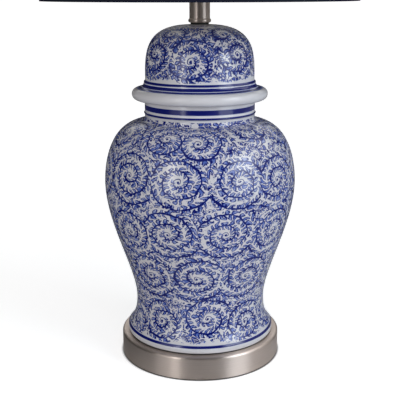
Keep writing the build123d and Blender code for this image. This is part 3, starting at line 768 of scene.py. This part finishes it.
def glaze_paint():
    """The painted glaze. wobble, press and rough are the unevenness of the painting hand."""
    paint = Paint("blue_and_white_glaze", GLAZE_ROUGHNESS)
    paint.set("Specular IOR Level", 0.5)
    px, py, height = paint.place()
    wobble = paint.split(paint.noise_node(WOBBLE_SCALE, detail=2.0).outputs["Color"])
    press = paint.noise(PRESS_SCALE, detail=3.0)
    rough = paint.noise(ROUGH_SCALE, detail=1.0)
    large_turns, small_turns, own_ink = paint.attribute("scroll_turns")
    shift_x = (wobble[0] - 0.5) * SCROLL_WOBBLE
    shift_y = (wobble[1] - 0.5) * SCROLL_WOBBLE
    drift = wobble[2] * LEAF_DRIFT
    ragged = (rough - 0.5) * LEAF_RAGGED + own_ink * LEAF_SWELL_INK + LEAF_SWELL
    weight = press.rise(*STEM_PRESS) * STEM_WEIGHT_PRESS + own_ink * STEM_WEIGHT_INK + STEM_WEIGHT
    brush = (drift, ragged, weight, own_ink)
    x, y, seed = paint.attribute("large_scroll")
    large, on_large = leafy_scroll(paint, x + shift_x, y + shift_y, seed, large_turns, brush)
    painted = seed.rise(*PAINTED_SEED)
    x, y, seed = paint.attribute("small_scroll")
    small, on_small = leafy_scroll(paint, x + shift_x, y + shift_y, seed, small_turns, brush)
    on_small = on_small * height.band(*SPRIG_BAND, SPRIG_BAND_EDGE).flip()
    gaps = small * on_small + sprig_leaves(paint, wobble, px, py, height) * on_small.flip()
    hem = height - (press - 0.5) * HEM_PRESS - (rough - 0.5) * HEM_ROUGH
    scrolls = large * on_large * hems(hem, SCROLL_HEMS).flip()
    between = gaps * on_large.flip() * hems(hem, GAP_HEMS).flip()
    ink = (scrolls + between) * painted * press.rise(*TONE_PRESS).span(*PRESS_TONE)
    for low, high in STRIPES:
        ink = ink.math("MAXIMUM", height.band(low, high, STRIPE_EDGE))
    paint.set(
        "Base Color",
        paint.colours(ink, (0.0, GLAZE), (0.10, GLAZE_TINT), (0.5, WASH), (0.95, COBALT)),
    )
    paint.bump(paint.noise(GLAZE_RIPPLE_SCALE, detail=1.0), strength=0.05, distance=0.002)
    return paint.material


jar = glazed_jar()
lid = glazed_lid()
glaze = glaze_paint()
for piece, node in ((jar, "jar"), (lid, "lid")):
    piece.data.materials.append(glaze)
    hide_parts(node)
    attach(piece, "stand")


# Other finishes, one for each of the record's other slots
NOISE_LOW = 0.3  # a noise is seldom below this
NOISE_HIGH = 0.7  # or above this


def grained(name, colour, roughness, metallic=0.0, scale=400.0, contrast=0.15, bump=0.1):
    """A finish whose colour, roughness and surface vary a little with a fine noise."""
    paint = Paint(name, roughness, metallic)
    grain = paint.noise(scale, detail=4.0)
    dark = toned(colour, 1 - contrast)
    light = toned(colour, 1 + contrast)
    paint.set("Base Color", paint.colours(grain, (NOISE_LOW, dark), (NOISE_HIGH, light)))
    paint.set("Roughness", grain * (contrast * roughness) + roughness * (1 - contrast / 2))
    paint.bump(grain, strength=bump, distance=0.0004)
    return paint


def brushed(name, colour, roughness):
    """Metal with a fine grain that runs round the Z axis."""
    paint = Paint(name, roughness, metallic=1.0)
    x, y, z = paint.place()
    radius = (x * x + y * y).math("SQRT")
    turn = y.math("ARCTAN2", x)
    lines_per_metre = 2600.0
    lines_per_radian = 1.5
    rings = paint.vector(radius * lines_per_metre, z * lines_per_metre, turn * lines_per_radian)
    grain = paint.noise(1.0, detail=3.0, vector=rings)
    cloud = paint.noise(14.0, detail=2.0)
    cloud_share = 0.3
    mixed = grain * (1 - cloud_share) + cloud * cloud_share
    dark = toned(colour, 0.86)
    paint.set("Base Color", paint.colours(mixed, (NOISE_LOW, dark), (NOISE_HIGH, colour)))
    spread = 0.12
    paint.set("Roughness", grain * spread + (roughness - spread / 2))
    paint.set("Anisotropic", 0.9)
    paint.set("Anisotropic Rotation", 0.25)
    tangent = paint.new("Tangent", direction_type="RADIAL", axis="Z")
    paint.link(tangent.outputs[0], paint.shader.inputs["Tangent"])
    paint.bump(grain, strength=0.04, distance=0.0002)
    return paint


def woven(name, colour, radius, pitch):
    """Plain-weave cloth on a round shade: threads along the height and round it, pitch apart in metres."""
    paint = Paint(name, roughness=0.9)
    x, y, z = paint.place()
    turn = y.math("ARCTAN2", x) * (radius * math.pi / pitch)
    rise = z * (math.pi / pitch)
    over = turn.math("SINE").math("ABSOLUTE")
    under = rise.math("SINE").math("ABSOLUTE")
    weave = over.math("MAXIMUM", under)
    slub_along = 0.02
    slub_across = 0.25
    slub = paint.noise(1.0, detail=3.0, vector=paint.vector(turn * slub_along, rise * slub_across))
    slub_share = 0.4
    mixed = weave * (1 - slub_share) + slub * slub_share
    dark = toned(colour, 0.55)
    light = toned(colour, 1.5)
    paint.set("Base Color", paint.colours(mixed, (0.25, dark), (0.9, light)))
    paint.set("Sheen Weight", 0.03)
    paint.set("Specular IOR Level", 0.1)
    paint.bump(weave, strength=0.25, distance=0.0002)
    return paint


NICKEL = (0.70, 0.60, 0.54)
NAVY = (0.0065, 0.008, 0.019)
SATIN = (0.80, 0.78, 0.73)
finishes = {
    "nickel": brushed("brushed_nickel", NICKEL, 0.40),
    "rubber": grained("black_rubber", (0.02, 0.02, 0.02), 0.7, scale=900.0, bump=0.2),
    "iron": grained("cast_iron", (0.10, 0.10, 0.10), 0.75, 0.6, scale=350.0, bump=0.6),
    "felt": grained("dark_felt", (0.035, 0.04, 0.035), 1.0, scale=1500.0, contrast=0.5, bump=0.8),
    "board": grained("fibreboard", (0.30, 0.21, 0.13), 0.85, scale=600.0, contrast=0.25),
    "steel": grained("zinc_plate", (0.56, 0.57, 0.58), 0.35, 1.0, scale=250.0, contrast=0.2),
    "brass": grained("plain_brass", (0.72, 0.52, 0.22), 0.3, 1.0, scale=300.0),
    "phenolic": grained("dark_moulding", (0.035, 0.03, 0.025), 0.45, scale=500.0),
    "fibre": grained("pressed_fibre", (0.27, 0.19, 0.12), 0.9, scale=700.0, contrast=0.3),
    "knob": grained("glossy_moulding", (0.02, 0.017, 0.014), 0.2, scale=300.0, bump=0.03),
    "opal": grained("opal_glass", (0.86, 0.85, 0.82), 0.25, scale=40.0, contrast=0.03, bump=0.0),
    "shade_cloth": woven("navy_cloth", NAVY, radius=0.178, pitch=0.0007),
    "shade_lining": grained("satin_lining", SATIN, 0.5, scale=300.0, contrast=0.05, bump=0.03),
    "wire": grained("white_wire", (0.78, 0.77, 0.74), 0.4, scale=300.0, contrast=0.06, bump=0.05),
}
for part in frame["record"]["subparts"]:
    finish = finishes.get(part["material_slot"])
    if finish:
        skin = nodes[part["node"]].data.materials
        skin.clear()
        skin.append(finish.material)


# Shade cloth, stretched over the lining: (radius, height) of its edges in millimetres
SHADE_LOW = (189.40, 449.3)
SHADE_HIGH = (164.50, 702.2)
CLOTH_T = 0.6
CLOTH_STEPS = 24
cloth_out = []
cloth_in = []
for step in range(CLOTH_STEPS + 1):
    share = step / CLOTH_STEPS
    radius = SHADE_LOW[0] + (SHADE_HIGH[0] - SHADE_LOW[0]) * share
    height = SHADE_LOW[1] + (SHADE_HIGH[1] - SHADE_LOW[1]) * share
    cloth_out.append((radius, height))
    cloth_in.append((radius - CLOTH_T, height))
cloth = turned_piece("shade_cloth", plain_rings(cloth_out + cloth_in[::-1]))
cloth.data.materials.append(finishes["shade_cloth"].material)
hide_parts("shade_fabric")
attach(cloth, "shade")


# Camera, where the photograph was taken from, in metres and degrees
CAMERA_PLACE = (0.0, -1.0, 0.4582)
CAMERA_TILT = 75.576
CAMERA_ROLL = -0.1
camera = bpy.data.objects.new("camera", bpy.data.cameras.new("camera"))
camera.location = CAMERA_PLACE
camera.rotation_mode = "ZYX"
camera.rotation_euler = (math.radians(CAMERA_TILT), 0.0, math.radians(CAMERA_ROLL))
camera.data.sensor_width = 36.0
camera.data.lens = 72.6
scene.collection.objects.link(camera)
scene.camera = camera


# Studio lights, in metres, degrees and watts
LIGHT_AIM = (0.0, 0.0, 0.32)
COOL = (0.85, 0.93, 1.0)


def soft_box(name, azimuth, height, size, watts, distance=1.7, colour=WHITE):
    """A rectangular light that faces the jar's collar. Azimuth 0 is the camera's side, 90 the right."""
    data = bpy.data.lights.new(name, "AREA")
    data.shape = "RECTANGLE"
    data.size, data.size_y = size
    data.energy = watts
    data.color = colour
    light = bpy.data.objects.new(name, data)
    angle = math.radians(azimuth)
    light.location = (distance * math.sin(angle), -distance * math.cos(angle), height)
    aim = Vector(LIGHT_AIM) - light.location
    light.rotation_euler = aim.to_track_quat("-Z", "Y").to_euler()
    light.visible_camera = False
    scene.collection.objects.link(light)
    return light


soft_box("left_soft_box", azimuth=-34.0, height=0.6, size=(0.32, 1.1), watts=5.3)
soft_box("left_wash", azimuth=-52.0, height=0.6, size=(0.6, 1.1), watts=2.4)
soft_box("right_soft_box", azimuth=54.0, height=0.45, size=(1.0, 0.9), watts=7.0, colour=COOL)
soft_box("right_high_box", azimuth=54.0, height=1.05, size=(0.85, 0.75), watts=10.5, colour=COOL)
front_fill = soft_box("front_fill", azimuth=10.0, height=1.7, size=(1.0, 1.0), watts=5.8, distance=2.0)
front_fill.visible_glossy = False
right_card = soft_box("right_card", azimuth=92.0, height=1.6, size=(2.0, 1.3), watts=12.0)
right_card.visible_diffuse = False


# Room round the lamp, as parts of a ray's direction: x to the right, y away from the camera, z up
WALL_EDGE = (0.66, 0.82)
WALL_LEAN = 0.15  # the white wall reaches further round on the right
WALL_FOOT = (0.28, 0.36)
WALL_LIGHT = 0.95
CARD_EDGE = (0.72, 0.86)
CARD_HEIGHT = (0.05, 0.65)
CARD_HEIGHT_EDGE = 0.08
CARD_LIGHT = 0.5
CEILING_EDGE = (0.4, 0.9)
CEILING_LIGHT = 0.25
DARK_LIGHT = 0.03  # where the room is darkest
SOFT_LIGHT = 0.18  # from all sides, for surfaces that don't mirror


def studio_world():
    """White behind the lamp, as in the photograph. Shiny surfaces also mirror a darker room."""
    world = bpy.data.worlds.new("studio")
    world.use_nodes = True
    tree = world.node_tree
    light = tree.nodes["Background"]
    path = tree.nodes.new("ShaderNodeLightPath")
    seen = Num(tree, path.outputs["Is Camera Ray"])
    seen = seen.math("MAXIMUM", Num(tree, path.outputs["Is Transmission Ray"]))
    glossy = Num(tree, path.outputs["Is Glossy Ray"])
    split = tree.nodes.new("ShaderNodeSeparateXYZ")
    tree.links.new(tree.nodes.new("ShaderNodeTexCoord").outputs["Generated"], split.inputs[0])
    x, y, z = (Num(tree, out) for out in split.outputs)
    wall = (y + x * WALL_LEAN).rise(*WALL_EDGE) * z.rise(*WALL_FOOT)
    card = x.rise(*CARD_EDGE) * z.band(*CARD_HEIGHT, CARD_HEIGHT_EDGE)
    ceiling = z.rise(*CEILING_EDGE)
    room = wall * WALL_LIGHT + card * CARD_LIGHT + ceiling * CEILING_LIGHT + DARK_LIGHT
    soft = seen.math("MAXIMUM", glossy).flip() * SOFT_LIGHT
    strength = seen.math("MAXIMUM", glossy * room) + soft
    tree.links.new(strength.socket, light.inputs["Strength"])
    light.inputs["Color"].default_value = (*WHITE, 1.0)
    scene.world = world


# Floor, with distances from the lamp's axis in metres
FLOOR_HALF = 60.0
FLOOR_GREY = 0.8
FLOOR_NEAR_FAR = (0.15, 1.5)
FLOOR_SEEN = (0.70, 0.90)  # light that the camera sees near the lamp, and far from it
FLOOR_ROOM = (0.18, 0.6)  # shiny surfaces mirror a dark floor beyond this
FLOOR_LEFT = (-0.22, -0.08)  # and to the left of this
FLOOR_ROOM_DARK = 0.95
FLOOR_RIGHT = (0.5, 1.2)
FLOOR_MIRRORED = (0.03, 0.28)  # light of its own that they mirror, at least and far to the right
PAINTED_FOOT_SHADOW = (0.1020, 0.1055)  # a painted shadow: the floor is dark under the foot and in a thin ring round it


def floor():
    """A white floor, which keeps the lamp's shadow and has a painted shadow under and round the foot. Shiny
    surfaces mirror it darker, as part of the room.
    """
    mesh = bpy.data.meshes.new("floor")
    sides = ((-1, -1), (1, -1), (1, 1), (-1, 1))
    mesh.from_pydata([(x * FLOOR_HALF, y * FLOOR_HALF, 0) for x, y in sides], [], [(0, 1, 2, 3)])
    piece = bpy.data.objects.new("floor", mesh)
    scene.collection.objects.link(piece)
    paint = Paint("studio_floor", roughness=0.9)
    path = paint.new("LightPath")
    seen = paint.num(path.outputs["Is Camera Ray"])
    seen = seen.math("MAXIMUM", paint.num(path.outputs["Is Transmission Ray"]))
    glossy = paint.num(path.outputs["Is Glossy Ray"])
    x, y, _ = paint.place()
    away = (x * x + y * y).math("SQRT")
    left = x.rise(*FLOOR_LEFT).flip()
    room = away.rise(*FLOOR_ROOM).math("MAXIMUM", left)
    # Painted shadow: the floor's colour and its own light go dark under the foot and in a thin ring round it
    painted_shadow = away.rise(*PAINTED_FOOT_SHADOW)
    seen_light = seen * painted_shadow * away.rise(*FLOOR_NEAR_FAR).span(*FLOOR_SEEN)
    mirrored_light = glossy * x.rise(*FLOOR_RIGHT).span(*FLOOR_MIRRORED)
    paint.set("Base Color", (glossy * room * FLOOR_ROOM_DARK).flip() * painted_shadow * FLOOR_GREY)
    paint.set("Emission Color", (*WHITE, 1.0))
    paint.set("Emission Strength", seen_light + mirrored_light)
    mesh.materials.append(paint.material)


studio_world()
floor()
scene.view_settings.view_transform = "Standard"
